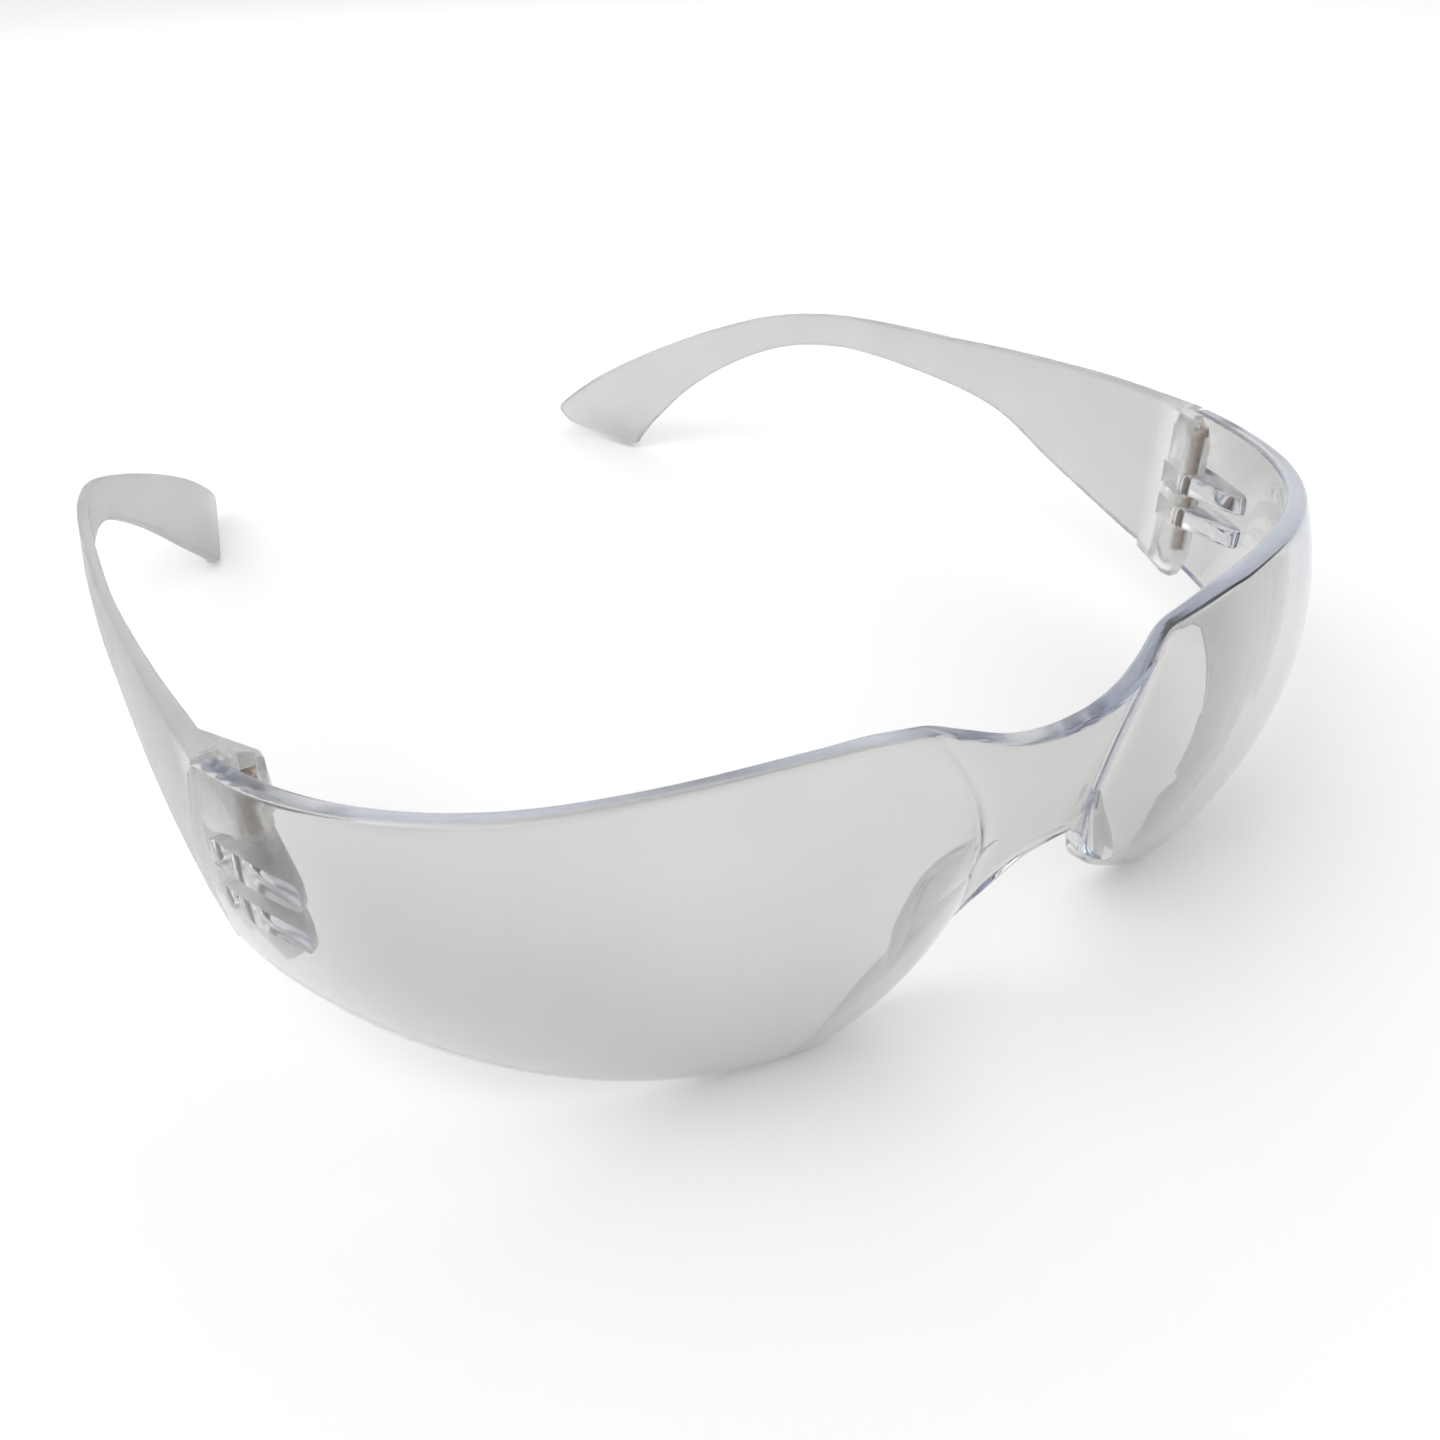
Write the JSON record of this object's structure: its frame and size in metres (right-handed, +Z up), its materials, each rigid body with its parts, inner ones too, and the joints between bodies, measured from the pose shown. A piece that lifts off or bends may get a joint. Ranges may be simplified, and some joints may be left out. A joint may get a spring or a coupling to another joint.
{
  "type": "safety glasses",
  "caption": "Clear wrap-round safety glasses: a one-piece lens with bridge and nose flanges, frosted folding temples and metal hinge pins.",
  "frame": {"origin": "on the surface the glasses stand on, under the middle of their bounding box", "axes": "+X to the wearer's left, +Y back from the lens to the temple tips, +Z up"},
  "size_m": [0.1418, 0.1737, 0.04],
  "materials": {
    "clear_lens": "gloss",
    "frosted_temple": "frosted",
    "hinge_pin": "satin"
  },
  "bodies": {
    "lens": {"lens": "clear_lens"},
    "temple_left": {"temple_left": "frosted_temple", "hinge_pin_left": "hinge_pin"},
    "temple_right": {"temple_right": "frosted_temple", "hinge_pin_right": "hinge_pin"}
  },
  "joints": [
    {"name": "left_temple_fold", "type": "hinge", "parent": "lens", "child": "temple_left", "pos_m": [0.065, -0.0474, 0], "axis": [0, 0, 1], "range_deg": [0, 82]},
    {"name": "right_temple_fold", "type": "hinge", "parent": "lens", "child": "temple_right", "pos_m": [-0.065, -0.0474, 0], "axis": [0, 0, -1], "range_deg": [0, 74]}
  ]
}
